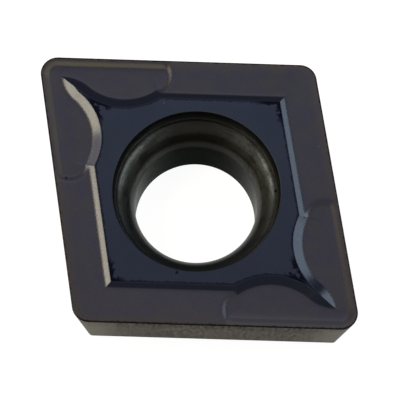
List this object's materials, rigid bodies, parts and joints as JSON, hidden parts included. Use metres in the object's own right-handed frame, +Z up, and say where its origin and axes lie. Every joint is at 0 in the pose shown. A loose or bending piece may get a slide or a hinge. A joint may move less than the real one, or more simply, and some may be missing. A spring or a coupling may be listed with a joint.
{
  "type": "carbide insert",
  "caption": "Rhombic single-sided cutting insert with clearance flanks, a scalloped chip breaker plateau and a countersunk screw hole.",
  "frame": {"origin": "middle of the base, on the screw hole's axis", "axes": "+X along the long diagonal to an acute corner, +Y along the short diagonal, +Z up the screw hole"},
  "size_m": [0.0188, 0.016, 0.0048],
  "materials": {
    "coated_carbide": "satin dark grey coating"
  },
  "bodies": {
    "root": {"carbide_insert": "coated_carbide"}
  },
  "joints": []
}
